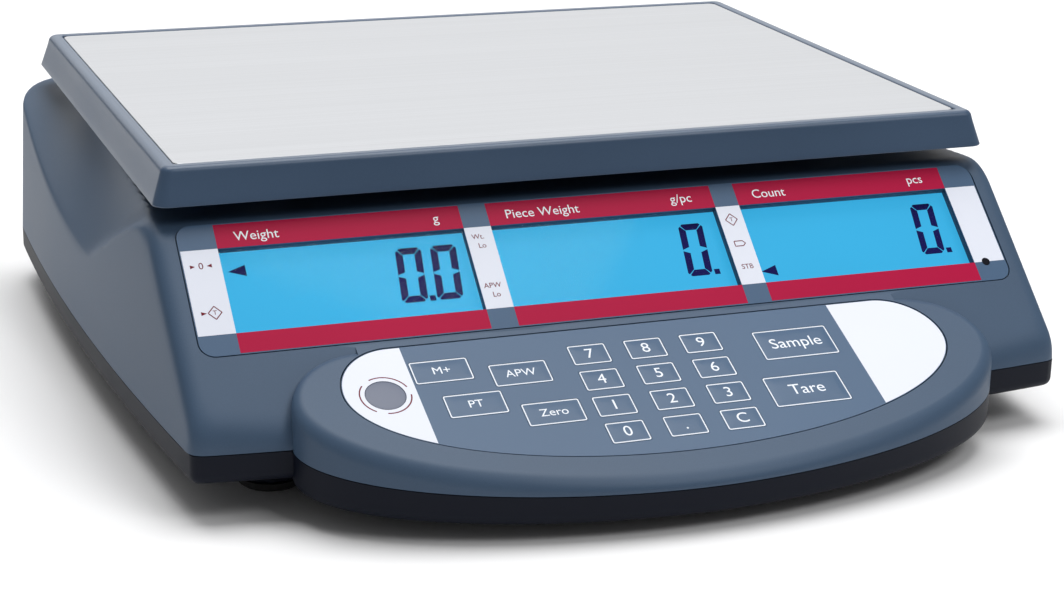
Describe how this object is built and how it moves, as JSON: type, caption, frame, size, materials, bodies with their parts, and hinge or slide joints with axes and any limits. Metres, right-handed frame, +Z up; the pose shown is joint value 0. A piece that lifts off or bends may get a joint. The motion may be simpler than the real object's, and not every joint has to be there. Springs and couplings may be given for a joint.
{
  "type": "counting scale",
  "caption": "Bench counting scale with a lift-off steel platform, a sloped three-window display, a membrane keypad on a rounded lip and levelling feet.",
  "frame": {"origin": "middle of the footprint, on the surface the feet stand on", "axes": "+X to the user's right, +Y to the back, +Z up"},
  "size_m": [0.326, 0.337, 0.0984],
  "materials": {
    "cover_plastic": "fine-textured satin blue-grey ABS",
    "base_plastic": "satin near-black navy ABS",
    "platform_plastic": "satin blue-grey ABS",
    "plate_steel": "stainless steel with a fine straight grain",
    "lens_print": "printed polycarbonate, red bars and white panels",
    "lcd_glass": "backlit bright blue liquid crystal display",
    "board_laminate": "green circuit board",
    "overlay_print": "printed satin polyester film",
    "key_print": "printed satin polyester film with white outlines",
    "power_key_print": "dark grey printed film",
    "led_plastic": "dark tinted plastic",
    "cell_aluminium": "machined",
    "cast_aluminium": "as cast",
    "plated_steel": "zinc plated",
    "rubber": "matt black",
    "battery_case": "moulded black case",
    "socket_plastic": "black moulded",
    "vial_acrylic": "clear acrylic with green liquid"
  },
  "bodies": {
    "housing": {"base_tub": "base_plastic", "top_cover": "cover_plastic", "display_lens": "lens_print", "lcd_weight": "lcd_glass", "lcd_piece_weight": "lcd_glass", "lcd_count": "lcd_glass", "display_board": "board_laminate", "keypad_overlay": "overlay_print", "keypad_membrane": "board_laminate", "main_board": "board_laminate", "load_cell": "cell_aluminium", "load_cell_block": "plated_steel", "overload_stop": "plated_steel", "battery": "battery_case", "power_inlet": "socket_plastic", "serial_port": "plated_steel", "level_bubble": "vial_acrylic", "charge_led": "led_plastic", "case_screw_front_left": "plated_steel", "case_screw_front_right": "plated_steel", "case_screw_rear_left": "plated_steel", "case_screw_rear_right": "plated_steel"},
    "weighing_bridge": {"spider": "cast_aluminium", "platform_cushion_front_left": "rubber", "platform_cushion_front_right": "rubber", "platform_cushion_rear_left": "rubber", "platform_cushion_rear_right": "rubber"},
    "platform": {"platform_frame": "platform_plastic", "platform_plate": "plate_steel"},
    "battery_cover": {"battery_door": "base_plastic"},
    "key_memory_body": {"key_memory": "key_print"},
    "key_unit_weight_body": {"key_unit_weight": "key_print"},
    "key_preset_tare_body": {"key_preset_tare": "key_print"},
    "key_zero_body": {"key_zero": "key_print"},
    "key_sample_body": {"key_sample": "key_print"},
    "key_tare_body": {"key_tare": "key_print"},
    "key_7_body": {"key_7": "key_print"},
    "key_8_body": {"key_8": "key_print"},
    "key_9_body": {"key_9": "key_print"},
    "key_4_body": {"key_4": "key_print"},
    "key_5_body": {"key_5": "key_print"},
    "key_6_body": {"key_6": "key_print"},
    "key_1_body": {"key_1": "key_print"},
    "key_2_body": {"key_2": "key_print"},
    "key_3_body": {"key_3": "key_print"},
    "key_0_body": {"key_0": "key_print"},
    "key_point_body": {"key_point": "key_print"},
    "key_clear_body": {"key_clear": "key_print"},
    "key_power_body": {"key_power": "power_key_print"},
    "foot_front_left": {"foot_pad_front_left": "rubber"},
    "foot_front_left_screw": {"foot_knob_front_left": "base_plastic"},
    "foot_front_right": {"foot_pad_front_right": "rubber"},
    "foot_front_right_screw": {"foot_knob_front_right": "base_plastic"},
    "foot_rear_left": {"foot_pad_rear_left": "rubber"},
    "foot_rear_left_screw": {"foot_knob_rear_left": "base_plastic"},
    "foot_rear_right": {"foot_pad_rear_right": "rubber"},
    "foot_rear_right_screw": {"foot_knob_rear_right": "base_plastic"}
  },
  "joints": [
    {"name": "cell_deflection", "type": "slide", "parent": "housing", "child": "weighing_bridge", "axis": [0, 0, -1], "range_m": [0, 0.0005], "stiffness_N_per_m": 300000},
    {"name": "platform_lift", "type": "slide", "parent": "weighing_bridge", "child": "platform", "axis": [0, 0, 1], "range_m": [0, 0.05]},
    {"name": "battery_door_slide", "type": "slide", "parent": "housing", "child": "battery_cover", "axis": [0, 1, 0], "range_m": [0, 0.075]},
    {"name": "key_memory_press", "type": "slide", "parent": "housing", "child": "key_memory_body", "axis": [0, 0.3896, -0.921], "range_m": [0, 0.0004], "stiffness_N_per_m": 2000},
    {"name": "key_unit_weight_press", "type": "slide", "parent": "housing", "child": "key_unit_weight_body", "axis": [0, 0.3896, -0.921], "range_m": [0, 0.0004], "stiffness_N_per_m": 2000},
    {"name": "key_preset_tare_press", "type": "slide", "parent": "housing", "child": "key_preset_tare_body", "axis": [0, 0.3896, -0.921], "range_m": [0, 0.0004], "stiffness_N_per_m": 2000},
    {"name": "key_zero_press", "type": "slide", "parent": "housing", "child": "key_zero_body", "axis": [0, 0.3896, -0.921], "range_m": [0, 0.0004], "stiffness_N_per_m": 2000},
    {"name": "key_sample_press", "type": "slide", "parent": "housing", "child": "key_sample_body", "axis": [0, 0.3896, -0.921], "range_m": [0, 0.0004], "stiffness_N_per_m": 2000},
    {"name": "key_tare_press", "type": "slide", "parent": "housing", "child": "key_tare_body", "axis": [0, 0.3896, -0.921], "range_m": [0, 0.0004], "stiffness_N_per_m": 2000},
    {"name": "key_7_press", "type": "slide", "parent": "housing", "child": "key_7_body", "axis": [0, 0.3896, -0.921], "range_m": [0, 0.0004], "stiffness_N_per_m": 2000},
    {"name": "key_8_press", "type": "slide", "parent": "housing", "child": "key_8_body", "axis": [0, 0.3896, -0.921], "range_m": [0, 0.0004], "stiffness_N_per_m": 2000},
    {"name": "key_9_press", "type": "slide", "parent": "housing", "child": "key_9_body", "axis": [0, 0.3896, -0.921], "range_m": [0, 0.0004], "stiffness_N_per_m": 2000},
    {"name": "key_4_press", "type": "slide", "parent": "housing", "child": "key_4_body", "axis": [0, 0.3896, -0.921], "range_m": [0, 0.0004], "stiffness_N_per_m": 2000},
    {"name": "key_5_press", "type": "slide", "parent": "housing", "child": "key_5_body", "axis": [0, 0.3896, -0.921], "range_m": [0, 0.0004], "stiffness_N_per_m": 2000},
    {"name": "key_6_press", "type": "slide", "parent": "housing", "child": "key_6_body", "axis": [0, 0.3896, -0.921], "range_m": [0, 0.0004], "stiffness_N_per_m": 2000},
    {"name": "key_1_press", "type": "slide", "parent": "housing", "child": "key_1_body", "axis": [0, 0.3896, -0.921], "range_m": [0, 0.0004], "stiffness_N_per_m": 2000},
    {"name": "key_2_press", "type": "slide", "parent": "housing", "child": "key_2_body", "axis": [0, 0.3896, -0.921], "range_m": [0, 0.0004], "stiffness_N_per_m": 2000},
    {"name": "key_3_press", "type": "slide", "parent": "housing", "child": "key_3_body", "axis": [0, 0.3896, -0.921], "range_m": [0, 0.0004], "stiffness_N_per_m": 2000},
    {"name": "key_0_press", "type": "slide", "parent": "housing", "child": "key_0_body", "axis": [0, 0.3896, -0.921], "range_m": [0, 0.0004], "stiffness_N_per_m": 2000},
    {"name": "key_point_press", "type": "slide", "parent": "housing", "child": "key_point_body", "axis": [0, 0.3896, -0.921], "range_m": [0, 0.0004], "stiffness_N_per_m": 2000},
    {"name": "key_clear_press", "type": "slide", "parent": "housing", "child": "key_clear_body", "axis": [0, 0.3896, -0.921], "range_m": [0, 0.0004], "stiffness_N_per_m": 2000},
    {"name": "key_power_press", "type": "slide", "parent": "housing", "child": "key_power_body", "axis": [0, 0.3896, -0.921], "range_m": [0, 0.0004], "stiffness_N_per_m": 2000},
    {"name": "foot_front_left_height", "type": "slide", "parent": "housing", "child": "foot_front_left", "axis": [0, 0, 1], "range_m": [-0.00801, 0.00401]},
    {"name": "foot_front_left_turn", "type": "hinge", "parent": "foot_front_left", "child": "foot_front_left_screw", "pos_m": [-0.12, -0.0885, 0.008], "axis": [0, 0, 1], "range_deg": [-2304, 1152]},
    {"name": "foot_front_right_height", "type": "slide", "parent": "housing", "child": "foot_front_right", "axis": [0, 0, 1], "range_m": [-0.00801, 0.00401]},
    {"name": "foot_front_right_turn", "type": "hinge", "parent": "foot_front_right", "child": "foot_front_right_screw", "pos_m": [0.12, -0.0885, 0.008], "axis": [0, 0, 1], "range_deg": [-2304, 1152]},
    {"name": "foot_rear_left_height", "type": "slide", "parent": "housing", "child": "foot_rear_left", "axis": [0, 0, 1], "range_m": [-0.00801, 0.00401]},
    {"name": "foot_rear_left_turn", "type": "hinge", "parent": "foot_rear_left", "child": "foot_rear_left_screw", "pos_m": [-0.12, 0.1435, 0.008], "axis": [0, 0, 1], "range_deg": [-2304, 1152]},
    {"name": "foot_rear_right_height", "type": "slide", "parent": "housing", "child": "foot_rear_right", "axis": [0, 0, 1], "range_m": [-0.00801, 0.00401]},
    {"name": "foot_rear_right_turn", "type": "hinge", "parent": "foot_rear_right", "child": "foot_rear_right_screw", "pos_m": [0.12, 0.1435, 0.008], "axis": [0, 0, 1], "range_deg": [-2304, 1152]}
  ],
  "couplings": [
    {"joint": "foot_front_left_height", "follows": "foot_front_left_turn", "m_per_rad": 0.00019894},
    {"joint": "foot_front_right_height", "follows": "foot_front_right_turn", "m_per_rad": 0.00019894},
    {"joint": "foot_rear_left_height", "follows": "foot_rear_left_turn", "m_per_rad": 0.00019894},
    {"joint": "foot_rear_right_height", "follows": "foot_rear_right_turn", "m_per_rad": 0.00019894}
  ]
}
